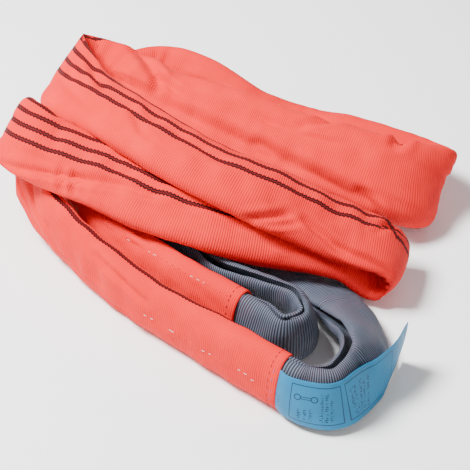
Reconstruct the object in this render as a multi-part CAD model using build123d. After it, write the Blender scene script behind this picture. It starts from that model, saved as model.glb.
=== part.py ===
from build123d import *

import os
from math import cos, pi, sin

# A round sling with a soft eye at each end, lying folded in a bundle.
# Millimetres, +Z up, origin on the floor under the middle of the bundle's box.
#
# The strand (two legs of one endless yarn hank, each in a tube of sleeve fabric) follows one
# open route: bight of eye 1, mouth 1, body with its folds, mouth 2, bight of eye 2. At each
# bight one leg turns back and becomes the other, so the hank and its sleeve are endless.

# ---- driving dimensions ----
COVER_WALL = 1.2         # red body cover
COVER_PLAY = 0.9         # between the cover and the sleeves inside it
SLEEVE_WALL = 1.2        # grey sleeve round the hank
CORE_PLAY = 1.0          # between the sleeve and the hank
STEPS = 3                # sections from one station to the next
BIGHT_STEPS = 6          # sections of the half turn at a bight
SLEEVE_ROW = 12.0        # between the two rows of thread of the sleeve's own joint
SLEEVE_THREAD = 0.3      # how far that thread stands, in the play under the cover
SPLICE_GAP = 0.4         # between the two ends of the hank's winding, under the tape
TAPE_OUTER = 1.5         # depth of the tape's faces under the outside of the sleeve
TAPE_INNER = 2.1
THREAD = 0.8             # thickness of a sewn thread where it stands on the fabric
THREAD_PLAY = 0.35       # under a stitch
STITCH_LENGTH = 5.0
HEM_STITCHES = 24        # round each mouth
HEM_DEPTH = 7.0          # of the stitches from the mouth's edge
SEAM_STITCHES = 24       # of each centre seam, one after the other
SEAM_PITCH = 8.0         # from one of them to the next
SEAM_START = 14.0        # from the mouth's edge to the first
SEAM_STATIONS = 6        # that each centre seam runs along
LABEL_THICKNESS = 0.8
LABEL_PLAY = 1.1         # between the label and the eye it hangs on
LABEL_LOW = -29.0        # the label's edges, across the width of the leg
LABEL_HIGH = 25.0
LABEL_STITCHES = 5
LABEL_DEPTH = 3.5        # of its stitches from the mouth's edge
LABEL_LEAVES = 18        # section of the eye where the label leaves it

# ---- the route ----
# Each station: centre x, y, z; direction of the width; half-width and half-thickness of the
# pair of legs; gap between the legs. ORIGIN is where the middle of the bundle's box, on the
# floor, lies among the stations.
ORIGIN = Vector(1.7, -0.8, 0.7)
EYE_1 = [
    (9, -46, 14, (0.0, -1.0, 0.0), 25, 13, 8),
    (59, -44, 14, (0.0, -1.0, 0.0), 25, 13, 8),
    (111, -43, 15, (-0.1, -1.0, 0.2), 26, 13, 7),
    (161, -53, 19, (-0.3, -0.9, 0.3), 29, 13, 6),
    (203, -73, 25, (-0.4, -0.7, 0.5), 31, 16, 7),
    (232, -99, 31, (-0.5, -0.4, 0.7), 32, 17, 8),
    (248, -135, 34, (-0.4, 0.0, 0.9), 33, 17, 8),
    (244, -170, 34, (-0.2, 0.1, 1.0), 32, 17, 7),
    (223, -187, 34, (-0.1, 0.2, 1.0), 32, 15, 4),
]
BODY = [
    (197, -190, 36, (0.0, 0.1, 1.0), 32, 15, 1),      # mouth 1
    (142, -189, 36, (0.0, 0.1, 1.0), 32, 15, 1),
    (88, -186, 34, (0.0, 0.1, 1.0), 30, 15, 1),
    (19, -183, 34, (0.0, 0.1, 1.0), 30, 15, 1),
    (-53, -175, 37, (-0.1, 0.1, 1.0), 32, 14, 1),
    (-106, -164, 42, (-0.1, 0.1, 1.0), 35, 13, 1),
    (-152, -152, 50, (0.0, 0.1, 0.8), 36, 11, 1),
    (-188, -129, 63, (-0.1, 0.5, 0.8), 36, 10, 1),
    (-220, -106, 82, (0.1, 0.4, 0.9), 35, 9, 1),
    (-227, -119, 109, (0.3, 0.6, 0.9), 35, 8, 1),     # first fold
    (-196, -135, 120, (0.2, 0.8, 0.6), 36, 10, 1),
    (-151, -130, 113, (-0.1, 0.8, 0.4), 37, 12, 1),
    (-93, -115, 101, (-0.1, 0.9, 0.3), 36, 14, 1),
    (-35, -108, 94, (0.0, 1.0, 0.2), 36, 14, 1),
    (17, -92, 86, (0.0, 1.0, 0.1), 35, 14, 1),
    (62, -64, 72, (0.0, 1.0, 0.1), 35, 14, 1),
    (104, -30, 54, (0.0, 1.0, -0.1), 35, 13, 1),
    (146, -4, 37, (-0.1, 1.0, -0.2), 35, 11, 1),
    (181, 13, 20, (-0.1, 0.9, 0.1), 34, 9, 1),
    (197, 20, 37, (-0.4, 1.2, 0.0), 34, 8, 1),        # second fold
    (184, 13, 58, (-0.3, 0.9, 0.0), 35, 10, 1),
    (149, -6, 72, (-0.1, 1.0, 0.1), 36, 13, 1),
    (100, -26, 92, (0.0, 1.0, 0.1), 36, 14, 1),
    (49, -47, 112, (0.0, 1.0, 0.1), 35, 14, 1),
    (-8, -59, 123, (0.0, 1.0, 0.1), 34, 14, 1),
    (-71, -61, 132, (0.0, 1.0, 0.1), 34, 14, 1),
    (-129, -57, 136, (0.0, 1.0, 0.1), 35, 13, 1),
    (-195, -40, 127, (0.0, 1.0, 0.25), 36, 11, 1),
    (-242, -8, 116, (0.1, 0.85, 0.5), 36, 9, 1),
    (-259, 26, 104, (0.1, 0.8, 0.6), 36, 8, 1),       # third fold
    (-220, 46, 92, (0.1, 0.8, 0.6), 35, 11, 1),
    (-164, 45, 84, (0.0, 0.9, 0.5), 36, 16, 1),
    (-97, 53, 82, (0.0, 0.9, 0.5), 36, 17, 1),
    (-33, 65, 78, (0.0, 0.9, 0.5), 36, 17, 1),
    (28, 77, 76, (0.0, 0.9, 0.5), 36, 17, 1),
    (79, 92, 74, (0.0, 0.9, 0.5), 39, 17, 1),
    (123, 107, 68, (0.0, 0.9, 0.5), 41, 15, 1),
    (152, 126, 58, (0.0, 0.9, 0.5), 41, 12, 1),
    (161, 152, 44, (-0.1, 0.9, 0.5), 40, 10, 1),      # fourth fold
    (131, 172, 34, (-0.1, 0.9, 0.5), 38, 10, 1),
    (80, 168, 34, (0.0, 0.9, 0.4), 38, 13, 1),
    (29, 160, 34, (0.0, 0.9, 0.4), 37, 15, 1),
    (-22, 151, 30, (0.0, 1.0, 0.3), 36, 15, 1),
    (-86, 136, 34, (0.0, 0.9, 0.4), 36, 15, 1),
    (-162, 135, 46, (0.0, 0.8, 0.6), 36, 15, 1),
    (-215, 127, 44, (0.1, 0.6, 0.8), 36, 15, 1),
    (-247, 92, 40, (0.1, 0.4, 0.9), 34, 14, 1),       # fifth fold
    (-241, 32, 34, (0.0, 0.1, 1.0), 31, 14, 1),
    (-215, -34, 35, (0.0, 0.0, 1.0), 32, 14, 1),
    (-175, -86, 36, (0.0, 0.0, 1.0), 33, 14, 1),
    (-123, -118, 37, (-0.1, 0.1, 1.0), 34, 14, 1),
    (-68, -138, 37, (-0.1, 0.1, 1.0), 33, 14, 1),
    (-4, -141, 36, (0.0, 0.1, 1.0), 32, 15, 1),
    (57, -143, 36, (0.0, 0.1, 1.0), 32, 15, 1),
    (110, -144, 36, (0.0, 0.1, 1.0), 32, 15, 1),      # mouth 2
]
EYE_2 = [
    (137, -145, 35, (0.0, 0.2, 0.9), 32, 14, 2),
    (164, -141, 34, (-0.2, -0.2, 1.1), 32, 13, 3),
    (173, -118, 34, (0.0, -0.3, 1.1), 32, 12, 4),
    (153, -100, 34, (-0.1, -0.1, 0.8), 32, 12, 5),
    (105, -96, 34, (0.0, -0.4, 0.9), 32, 13, 6),
    (50, -98, 32, (0.0, -0.5, 0.9), 29, 13, 7),
    (0, -100, 32, (0.0, 0.0, 1.0), 29, 13, 8),
    (-43, -101, 33, (0.0, 0.0, 1.0), 30, 13, 8),
]
STATIONS = EYE_1 + BODY + EYE_2
MOUTH_1 = len(EYE_1) * STEPS
MOUTH_2 = (len(EYE_1) + len(BODY) - 1) * STEPS
LAST = (len(STATIONS) - 1) * STEPS
SPLICE = MOUTH_1 + 13 * STEPS       # where the hank's winding starts and ends
SLEEVE_JOINT = MOUTH_1 + 33 * STEPS

# Turn of each centre seam round the cover, in degrees from the width direction.
SEAM_TURN_1 = -90
SEAM_TURN_2 = 35

# Where the free end of the label lies past the eye, and the direction of its width there.
LABEL_FREE = [
    ((270, -122, 37), (-0.2, 0.0, 1.0)),
    ((268, -96, 37), (0.0, -0.1, 1.0)),
    ((262, -70, 38), (0.2, -0.3, 0.9)),
]


def between(before, start, end, after, part):
    """A smooth curve through start and end: a cubic whose slopes follow the neighbours."""
    return 0.5 * (
        2 * start
        + (end - before) * part
        + (2 * before - 5 * start + 4 * end - after) * part**2
        + (3 * start - before - 3 * end + after) * part**3
    )


def smooth(values, steps):
    """All values, with steps - 1 more between each two of them."""
    padded = [2 * values[0] - values[1], *values, 2 * values[-1] - values[-2]]
    filled = []
    for index in range(1, len(padded) - 2):
        for step in range(steps):
            filled.append(between(*padded[index - 1:index + 3], step / steps))
    return filled + [values[-1]]


def frames_along(centres, widths):
    """One plane per centre: x along the width, y through the thickness, z along the route."""
    planes = []
    for index, (centre, width) in enumerate(zip(centres, widths)):
        before = centres[max(index - 1, 0)]
        after = centres[min(index + 1, len(centres) - 1)]
        planes.append(Plane(origin=centre, x_dir=width - along(width, after - before),
                            z_dir=after - before))
    return planes


def along(vector, direction):
    """The part of a vector that lies along a direction."""
    unit = direction.normalized()
    return unit * vector.dot(unit)


CENTRES = smooth([Vector(*station[:3]) - ORIGIN for station in STATIONS], STEPS)
WIDTHS = smooth([Vector(*station[3]).normalized() for station in STATIONS], STEPS)
HALF_WIDTH = smooth([station[4] for station in STATIONS], STEPS)
HALF_THICKNESS = smooth([station[5] for station in STATIONS], STEPS)
GAP = smooth([station[6] for station in STATIONS], STEPS)
FRAMES = frames_along(CENTRES, WIDTHS)


def turned(plane, angle):
    """The plane turned about its x axis, by an angle in radians."""
    y_dir = plane.y_dir * cos(angle) + plane.z_dir * sin(angle)
    return Plane(origin=plane.origin, x_dir=plane.x_dir, z_dir=plane.x_dir.cross(y_dir))


def leg_section(index, angle, inset, ahead=0.0):
    """A leg's outline: half an ellipse on a flat that faces the other leg."""
    flat = GAP[index] / 2 + inset
    height = HALF_THICKNESS[index] - inset - flat
    half_width = HALF_WIDTH[index] - inset
    plane = turned(FRAMES[index], angle)
    plane = Plane(origin=plane.origin + plane.y_dir * flat + plane.z_dir * ahead,
                  x_dir=plane.x_dir, z_dir=plane.z_dir)
    arc = Edge.make_ellipse(half_width, height, plane=plane, start_angle=0, end_angle=180)
    return [arc, Edge.make_line(arc @ 1, arc @ 0)]


def cover_section(index, wall):
    """The cover's outline at one section: the ellipse round both legs, plus play and wall."""
    extra = COVER_PLAY + wall
    return [Edge.make_ellipse(HALF_WIDTH[index] + extra, HALF_THICKNESS[index] + extra,
                              plane=FRAMES[index])]


def skin(sections):
    """Ruled faces from each section to the next, edge by edge."""
    return [Face.make_surface_from_curves(edge, next_edge)
            for section, following in zip(sections, sections[1:])
            for edge, next_edge in zip(section, following)]


def rod(sections):
    """A solid body through the sections."""
    ends = [Face(Wire(section)) for section in (sections[0], sections[-1])]
    return Solid(Shell(skin(sections) + ends))


def tube(outer, inner):
    """A hollow body between two sets of sections, open at both ends."""
    ends = [Face(Wire(outer[end]), [Wire(inner[end])]) for end in (0, -1)]
    return Solid(Shell(skin(outer) + skin(inner) + ends))


def leg(first, last, side):
    """The places of one leg's sections; side 0 is the +y leg, side 1 the other."""
    step = 1 if last > first else -1
    return [(index, pi * side) for index in range(first, last + step, step)]


def bight(index, side):
    """The places of the half turn at one end of the route, between its two legs."""
    return [(index, pi * (side + step / BIGHT_STEPS)) for step in range(1, BIGHT_STEPS)]


def leg_tube(places, outer, inner):
    """A hollow leg, open at both ends; outer and inner are depths under the sleeve's face."""
    return tube([leg_section(*place, outer) for place in places],
                [leg_section(*place, inner) for place in places])


def core_hank():
    """The endless yarn hank, cut only where its winding starts and ends."""
    inset = SLEEVE_WALL + CORE_PLAY
    places = leg(SPLICE + 1, LAST, 0) + bight(LAST, 0) + leg(LAST, 0, 1) + bight(0, 1)
    places += leg(0, SPLICE - 1, 0)
    sections = [leg_section(*place, inset) for place in places]
    start = leg_section(SPLICE, 0, inset, SPLICE_GAP / 2)
    end = leg_section(SPLICE, 0, inset, -SPLICE_GAP / 2)
    return rod([start, *sections, end])


def core_tape():
    """The tape round the hank where its winding starts and ends."""
    return leg_tube(leg(SPLICE - 1, SPLICE + 1, 0), TAPE_OUTER, TAPE_INNER)


def eye_sleeve(mouth, bight_index, side):
    """The grey sleeve from a mouth of the cover round the bight and back."""
    out = leg(mouth, bight_index, side)
    back = leg(bight_index, mouth, 1 - side)
    return leg_tube(out + bight(bight_index, side) + back, 0, SLEEVE_WALL)


def sleeve_joint_thread():
    """Two rows of thread where the ends of the sleeve's tube are sewn together."""
    rows = []
    for ahead in (-SLEEVE_ROW / 2, SLEEVE_ROW / 2):
        edges = [leg_section(SLEEVE_JOINT, 0, -height, ahead + move)
                 for height in (THREAD_PLAY + SLEEVE_THREAD, THREAD_PLAY)
                 for move in (-THREAD / 2, THREAD / 2)]
        rows.append(tube(edges[:2], edges[2:]))
    return Compound(rows)


def body_cover():
    """The wide cover over both legs, from mouth to mouth."""
    span = range(MOUTH_1, MOUTH_2 + 1)
    return tube([cover_section(index, COVER_WALL) for index in span],
                [cover_section(index, 0) for index in span])


def on_cover(index, turn):
    """A point of the cover's outside at a turn, with its outward and its round directions."""
    plane = FRAMES[index]
    wide = HALF_WIDTH[index] + COVER_PLAY + COVER_WALL
    thick = HALF_THICKNESS[index] + COVER_PLAY + COVER_WALL
    point = plane.origin + plane.x_dir * wide * cos(turn) + plane.y_dir * thick * sin(turn)
    outward = plane.x_dir * (cos(turn) / wide) + plane.y_dir * (sin(turn) / thick)
    around = plane.y_dir * (thick * cos(turn)) - plane.x_dir * (wide * sin(turn))
    return point, outward.normalized(), around.normalized()


def stitch(point, outward, direction):
    """One short straight stitch that stands on the fabric."""
    place = Plane(origin=point + outward * (THREAD_PLAY + THREAD / 2), x_dir=direction,
                  z_dir=outward)
    return place * Box(STITCH_LENGTH, THREAD, THREAD)


def hem_stitching(mouth, inward):
    """The row of stitches round one mouth of the cover."""
    stitches = []
    for number in range(HEM_STITCHES):
        point, outward, around = on_cover(mouth, 2 * pi * (number + 0.5) / HEM_STITCHES)
        stitches.append(stitch(point + inward * HEM_DEPTH, outward, around))
    return Compound(stitches)


def centre_seam(mouth, step, turn):
    """A lengthwise row of stitches down the plain face of the cover, from one mouth inwards."""
    angle = turn * pi / 180
    points = [on_cover(mouth + step * number, angle) for number in range(SEAM_STATIONS * STEPS)]
    stitches = []
    run = 0.0
    for (start, outward, _), (end, _, _) in zip(points, points[1:]):
        length = (end - start).length
        direction = (end - start).normalized()
        square = (outward - along(outward, direction)).normalized()
        for number in range(SEAM_STITCHES):
            place = SEAM_START + SEAM_PITCH * number - run
            if STITCH_LENGTH / 2 <= place < length - STITCH_LENGTH / 2:
                stitches.append(stitch(start + direction * place, square, direction))
        run += length
    return Compound(stitches)


def label_route():
    """Centres on the outer face of eye 1 and beyond it, and the label's width directions."""
    centres = []
    widths = []
    for index in range(MOUTH_1 - 1, LABEL_LEAVES - 1, -2):
        plane = FRAMES[index]
        stand_off = HALF_THICKNESS[index] + LABEL_PLAY + LABEL_THICKNESS / 2
        centres.append(plane.origin - plane.y_dir * stand_off)
        widths.append(plane.x_dir)
    for centre, width in LABEL_FREE:
        centres.append(Vector(*centre) - ORIGIN)
        widths.append(Vector(*width).normalized())
    return smooth(centres, 2), smooth(widths, 2)


def label():
    """The blue label: a thin strip that follows the eye's turn and then stands away."""
    centres, widths = label_route()
    wires = []
    for plane in frames_along(centres, widths):
        wires.append(Wire.make_polygon([
            plane.origin + plane.x_dir * edge + plane.y_dir * (LABEL_THICKNESS / 2 * side)
            for edge, side in ((LABEL_LOW, -1), (LABEL_HIGH, -1), (LABEL_HIGH, 1), (LABEL_LOW, 1))
        ]))
    return Solid.make_loft(wires, ruled=True)


def label_stitching():
    """The short row that holds the label's end in the mouth of the cover."""
    plane = FRAMES[MOUTH_1]
    spacing = (LABEL_HIGH - LABEL_LOW) / LABEL_STITCHES
    stitches = []
    for number in range(LABEL_STITCHES):
        across = LABEL_LOW + spacing * (number + 0.5)
        side = HALF_WIDTH[MOUTH_1] + COVER_PLAY + COVER_WALL
        face = HALF_THICKNESS[MOUTH_1] + COVER_PLAY + COVER_WALL
        depth = face * (1 - (across / side) ** 2) ** 0.5
        point = plane.origin + plane.x_dir * across - plane.y_dir * depth
        outward = plane.x_dir * (across / side**2) - plane.y_dir * (depth / face**2)
        stitches.append(stitch(point + plane.z_dir * LABEL_DEPTH, outward.normalized(),
                               plane.x_dir))
    return Compound(stitches)


def main():
    """Builds every node and writes its STEP file."""
    nodes = {
        "body_cover": body_cover(),
        "hem_stitching_1": hem_stitching(MOUTH_1, FRAMES[MOUTH_1].z_dir),
        "hem_stitching_2": hem_stitching(MOUTH_2, FRAMES[MOUTH_2].z_dir * -1),
        "centre_seam_1": centre_seam(MOUTH_1, 1, SEAM_TURN_1),
        "centre_seam_2": centre_seam(MOUTH_2, -1, SEAM_TURN_2),
        "eye_sleeve_1": eye_sleeve(MOUTH_1, 0, 1),
        "eye_sleeve_2": eye_sleeve(MOUTH_2, LAST, 0),
        "leg_sleeve_1": leg_tube(leg(MOUTH_1, MOUTH_2, 0), 0, SLEEVE_WALL),
        "leg_sleeve_2": leg_tube(leg(MOUTH_2, MOUTH_1, 1), 0, SLEEVE_WALL),
        "sleeve_joint_thread": sleeve_joint_thread(),
        "core_hank": core_hank(),
        "core_tape": core_tape(),
        "label": label(),
        "label_stitching": label_stitching(),
    }
    os.makedirs("parts", exist_ok=True)
    for name, shape in nodes.items():
        export_step(shape, "parts/" + name + ".step")


if __name__ == "__main__":
    main()
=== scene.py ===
import bpy
import numpy as np
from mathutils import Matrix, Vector


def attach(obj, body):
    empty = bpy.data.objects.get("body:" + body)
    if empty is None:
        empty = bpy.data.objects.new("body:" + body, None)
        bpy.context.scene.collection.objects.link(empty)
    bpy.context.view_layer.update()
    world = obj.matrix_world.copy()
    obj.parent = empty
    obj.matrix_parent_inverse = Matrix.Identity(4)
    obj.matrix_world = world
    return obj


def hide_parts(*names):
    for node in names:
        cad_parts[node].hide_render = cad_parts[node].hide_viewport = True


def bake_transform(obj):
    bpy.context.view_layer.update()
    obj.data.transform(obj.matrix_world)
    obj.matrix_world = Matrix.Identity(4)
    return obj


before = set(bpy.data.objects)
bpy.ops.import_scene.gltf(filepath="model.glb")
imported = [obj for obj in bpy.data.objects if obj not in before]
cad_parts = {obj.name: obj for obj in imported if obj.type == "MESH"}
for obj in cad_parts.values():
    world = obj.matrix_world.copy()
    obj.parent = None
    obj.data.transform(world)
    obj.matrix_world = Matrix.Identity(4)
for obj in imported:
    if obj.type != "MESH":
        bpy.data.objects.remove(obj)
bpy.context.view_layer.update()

bl_info = {
    "name": "Folded Round Sling",
    "version": (1, 0, 0),
    "blender": (4, 5, 0),
    "location": "View3D > Sidebar > Round Sling",
    "description": "A folded lifting sling: red ribbed cover, two grey padded eyes and a label",
    "category": "Add Mesh",
}

MM = 0.001
ORIGIN = np.array([1.7, -0.8, 0.7])     # of the model, among the stations

# ---- sizes of the cloth, in metres ----
COVER_SPACING = 0.0042   # from one row of the cover's grid to the next
COVER_COLUMNS = 88
COVER_STAND = 0.0021     # of the cover's outer face off the legs
HEM_WALL = 0.003         # thickness of the cover at its mouths
INNER_WALL = 0.005       # and farther in, where the inner face is out of sight
HEM_ROW = 0.007          # of the hem's stitches from the mouth's edge
DEEPEST = 0.0066         # that the cover is pressed in, so that it stays off the hank
SLEEVE_SPACING = 0.0032
HIDDEN_SPACING = 0.014   # where the cover hides the sleeve
HIDDEN_INSET = 0.007     # how much slimmer the sleeve is there
HANK_INSET = 0.009       # the hank's edges inside the legs' edges
HANK_SHARE = 0.62        # of a leg's thickness that the hank and what lies on it may fill

# ---- the route ----
# The same stations as the model's: centre x, y, z; direction of the width; half-width and
# half-thickness of the pair of legs; gap between the legs. Millimetres.
EYE_1 = [
    (9, -46, 14, 0, -1, 0, 25, 13, 8),
    (59, -44, 14, 0, -1, 0, 25, 13, 8),
    (111, -43, 15, -0.1, -1, 0.2, 26, 13, 7),
    (161, -53, 19, -0.3, -0.9, 0.3, 29, 13, 6),
    (203, -73, 25, -0.4, -0.7, 0.5, 31, 16, 7),
    (232, -99, 31, -0.5, -0.4, 0.7, 32, 17, 8),
    (248, -135, 34, -0.4, 0, 0.9, 33, 17, 8),
    (244, -170, 34, -0.2, 0.1, 1, 32, 17, 7),
    (223, -187, 34, -0.1, 0.2, 1, 32, 15, 4),
]
BODY = [
    (197, -190, 36, 0, 0.1, 1, 32, 15, 1),      # mouth 1
    (142, -189, 36, 0, 0.1, 1, 32, 15, 1),
    (88, -186, 34, 0, 0.1, 1, 30, 15, 1),
    (19, -183, 34, 0, 0.1, 1, 30, 15, 1),
    (-53, -175, 37, -0.1, 0.1, 1, 32, 14, 1),
    (-106, -164, 42, -0.1, 0.1, 1, 35, 13, 1),
    (-152, -152, 50, 0, 0.1, 0.8, 36, 11, 1),
    (-188, -129, 63, -0.1, 0.5, 0.8, 36, 10, 1),
    (-220, -106, 82, 0.1, 0.4, 0.9, 35, 9, 1),
    (-227, -119, 109, 0.3, 0.6, 0.9, 35, 8, 1),     # first fold
    (-196, -135, 120, 0.2, 0.8, 0.6, 36, 10, 1),
    (-151, -130, 113, -0.1, 0.8, 0.4, 37, 12, 1),
    (-93, -115, 101, -0.1, 0.9, 0.3, 36, 14, 1),
    (-35, -108, 94, 0, 1, 0.2, 36, 14, 1),
    (17, -92, 86, 0, 1, 0.1, 35, 14, 1),
    (62, -64, 72, 0, 1, 0.1, 35, 14, 1),
    (104, -30, 54, 0, 1, -0.1, 35, 13, 1),
    (146, -4, 37, -0.1, 1, -0.2, 35, 11, 1),
    (181, 13, 20, -0.1, 0.9, 0.1, 34, 9, 1),
    (197, 20, 37, -0.4, 1.2, 0, 34, 8, 1),        # second fold
    (184, 13, 58, -0.3, 0.9, 0, 35, 10, 1),
    (149, -6, 72, -0.1, 1, 0.1, 36, 13, 1),
    (100, -26, 92, 0, 1, 0.1, 36, 14, 1),
    (49, -47, 112, 0, 1, 0.1, 35, 14, 1),
    (-8, -59, 123, 0, 1, 0.1, 34, 14, 1),
    (-71, -61, 132, 0, 1, 0.1, 34, 14, 1),
    (-129, -57, 136, 0, 1, 0.1, 35, 13, 1),
    (-195, -40, 127, 0, 1, 0.25, 36, 11, 1),
    (-242, -8, 116, 0.1, 0.85, 0.5, 36, 9, 1),
    (-259, 26, 104, 0.1, 0.8, 0.6, 36, 8, 1),       # third fold
    (-220, 46, 92, 0.1, 0.8, 0.6, 35, 11, 1),
    (-164, 45, 84, 0, 0.9, 0.5, 36, 16, 1),
    (-97, 53, 82, 0, 0.9, 0.5, 36, 17, 1),
    (-33, 65, 78, 0, 0.9, 0.5, 36, 17, 1),
    (28, 77, 76, 0, 0.9, 0.5, 36, 17, 1),
    (79, 92, 74, 0, 0.9, 0.5, 39, 17, 1),
    (123, 107, 68, 0, 0.9, 0.5, 41, 15, 1),
    (152, 126, 58, 0, 0.9, 0.5, 41, 12, 1),
    (161, 152, 44, -0.1, 0.9, 0.5, 40, 10, 1),      # fourth fold
    (131, 172, 34, -0.1, 0.9, 0.5, 38, 10, 1),
    (80, 168, 34, 0, 0.9, 0.4, 38, 13, 1),
    (29, 160, 34, 0, 0.9, 0.4, 37, 15, 1),
    (-22, 151, 30, 0, 1, 0.3, 36, 15, 1),
    (-86, 136, 34, 0, 0.9, 0.4, 36, 15, 1),
    (-162, 135, 46, 0, 0.8, 0.6, 36, 15, 1),
    (-215, 127, 44, 0.1, 0.6, 0.8, 36, 15, 1),
    (-247, 92, 40, 0.1, 0.4, 0.9, 34, 14, 1),       # fifth fold
    (-241, 32, 34, 0, 0.1, 1, 31, 14, 1),
    (-215, -34, 35, 0, 0, 1, 32, 14, 1),
    (-175, -86, 36, 0, 0, 1, 33, 14, 1),
    (-123, -118, 37, -0.1, 0.1, 1, 34, 14, 1),
    (-68, -138, 37, -0.1, 0.1, 1, 33, 14, 1),
    (-4, -141, 36, 0, 0.1, 1, 32, 15, 1),
    (57, -143, 36, 0, 0.1, 1, 32, 15, 1),
    (110, -144, 36, 0, 0.1, 1, 32, 15, 1),      # mouth 2
]
EYE_2 = [
    (137, -145, 35, 0, 0.2, 0.9, 32, 14, 2),
    (164, -141, 34, -0.2, -0.2, 1.1, 32, 13, 3),
    (173, -118, 34, 0, -0.3, 1.1, 32, 12, 4),
    (153, -100, 34, -0.1, -0.1, 0.8, 32, 12, 5),
    (105, -96, 34, 0, -0.4, 0.9, 32, 13, 6),
    (50, -98, 32, 0, -0.5, 0.9, 29, 13, 7),
    (0, -100, 32, 0, 0, 1, 29, 13, 8),
    (-43, -101, 33, 0, 0, 1, 30, 13, 8),
]
STATIONS = np.array(EYE_1 + BODY + EYE_2, dtype=float)
MOUTH_1 = float(len(EYE_1))
MOUTH_2 = float(len(EYE_1) + len(BODY) - 1)
LAST = float(len(STATIONS) - 1)
SPLICE = MOUTH_1 + 13
SLEEVE_JOINT = MOUTH_1 + 33

# Where the middle of the striped face lies round the cover, in degrees from the width
# direction, at stations of the body: the cover turns slowly about the strand.
STRIPED_FACE = [(0, 90), (6, 70), (9, 51), (17, 20), (22, -15), (27, -38), (30, -85), (36, -115),
                (39, -105), (44, -140), (47, -134), (54, -150)]


# ---- curves and grids ----

def read_between(rows, places):
    """Rows of a table read at fractional places, on the cubic whose slopes follow the
    neighbouring rows."""
    rows = np.asarray(rows, dtype=float)
    padded = np.concatenate([2 * rows[:1] - rows[1:2], rows, 2 * rows[-1:] - rows[-2:-1]])
    index = np.clip(np.floor(places).astype(int), 0, len(rows) - 2)
    part = (places - index).reshape(-1, *([1] * (rows.ndim - 1)))
    before, start, end, after = (padded[index + step] for step in range(4))
    return 0.5 * (2 * start + (end - before) * part
                  + (2 * before - 5 * start + 4 * end - after) * part**2
                  + (3 * start - before - 3 * end + after) * part**3)


def unit(vectors):
    return vectors / np.linalg.norm(vectors, axis=-1, keepdims=True)


class Route:
    """The strand's centre line with its width, face and forward directions, and its sizes."""

    def __init__(self, places):
        """Reads the stations at the places; sizes and centres in metres."""
        values = read_between(STATIONS, places)
        self.places = places
        self.centre = (values[:, :3] - ORIGIN) * MM
        ahead = read_between(STATIONS, np.minimum(places + 0.02, LAST))[:, :3]
        behind = read_between(STATIONS, np.maximum(places - 0.02, 0))[:, :3]
        self.forward = unit(ahead - behind)
        directions = unit(STATIONS[:, 3:6])
        width = read_between(directions, places)
        width -= self.forward * np.sum(width * self.forward, axis=1, keepdims=True)
        self.width = unit(width)
        self.face = np.cross(self.forward, self.width)
        self.half_width = values[:, 6] * MM
        self.half_thickness = values[:, 7] * MM
        self.gap = values[:, 8] * MM

    def length(self):
        """How far each place is along the strand from the first, in metres."""
        steps = np.linalg.norm(np.diff(self.centre, axis=0), axis=1)
        return np.concatenate([[0], np.cumsum(steps)])


def even_places(first, last, spacing):
    """Places from first to last that lie evenly along the strand."""
    fine = np.linspace(first, last, int(abs(last - first) * 40) + 1)
    length = Route(fine).length()
    count = int(round(length[-1] / spacing)) + 1
    return np.interp(np.linspace(0, length[-1], count), length, fine)


def mesh_of_grid(name, grid, uvs, round_rows, round_columns):
    """A mesh of four-sided faces on a grid of points [row, column]. A round direction joins its
    last points to its first. uvs has one more row or column than the points where it is round."""
    rows, columns = grid.shape[:2]
    last_row = rows if round_rows else rows - 1
    last_column = columns if round_columns else columns - 1
    row, column = np.meshgrid(np.arange(last_row), np.arange(last_column), indexing="ij")
    next_row, next_column = (row + 1) % rows, (column + 1) % columns
    corners = np.stack([row * columns + column, row * columns + next_column,
                        next_row * columns + next_column, next_row * columns + column], axis=-1)
    mesh = bpy.data.meshes.new(name)
    mesh.vertices.add(rows * columns)
    mesh.vertices.foreach_set("co", grid.reshape(-1))
    faces = corners.reshape(-1, 4)
    mesh.loops.add(faces.size)
    mesh.loops.foreach_set("vertex_index", faces.reshape(-1))
    mesh.polygons.add(len(faces))
    mesh.polygons.foreach_set("loop_start", np.arange(0, faces.size, 4))
    mesh.polygons.foreach_set("use_smooth", np.ones(len(faces), dtype=bool))
    mesh.update(calc_edges=True)
    mesh.validate()
    layer = mesh.uv_layers.new(name="cloth")
    loop_uvs = np.stack([uvs[row, column], uvs[row, column + 1], uvs[row + 1, column + 1],
                         uvs[row + 1, column]], axis=-2)
    layer.data.foreach_set("uv", loop_uvs.reshape(-1))
    return mesh


def normals_of_grid(grid, round_rows=False):
    """Outward unit normals of a tube's grid: along its rows crossed with round its columns."""
    around = np.roll(grid, -1, axis=1) - np.roll(grid, 1, axis=1)
    if round_rows:
        along = np.roll(grid, -1, axis=0) - np.roll(grid, 1, axis=0)
    else:
        along = np.gradient(grid, axis=0)
    return unit(np.cross(around, along))


def piece_of(mesh, body, material, replaced):
    """Puts a mesh in the scene as a piece that stands for CAD nodes, and rides on a body unless
    it bends between two."""
    piece = bpy.data.objects.new(mesh.name, mesh)
    bpy.context.scene.collection.objects.link(piece)
    mesh.materials.append(material)
    if body:
        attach(piece, body)
    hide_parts(*replaced)
    return piece


def soft_noise(u, v, cells, seed):
    """Smooth noise from -1 to 1 on a plane: a sum of waves in seeded directions, about one
    cell apart."""
    waves = np.random.default_rng(seed)
    total = np.zeros(np.broadcast(u, v).shape)
    count = 9
    for _ in range(count):
        heading = waves.uniform(0, 2 * np.pi)
        rate = 2 * np.pi / cells * waves.uniform(0.6, 1.5)
        phase = waves.uniform(0, 2 * np.pi)
        total += np.sin(rate * (u * np.cos(heading) + v * np.sin(heading)) + phase)
    return total / count**0.5 / 1.6


def on_floor(grid, reach=0.004):
    """Presses points flat that would go under the floor, with a soft bend above it."""
    height = grid[..., 2]
    grid[..., 2] = 0.5 * (height + np.sqrt(height**2 + reach**2 / 4))
    return grid


# ---- the cover ----

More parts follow.
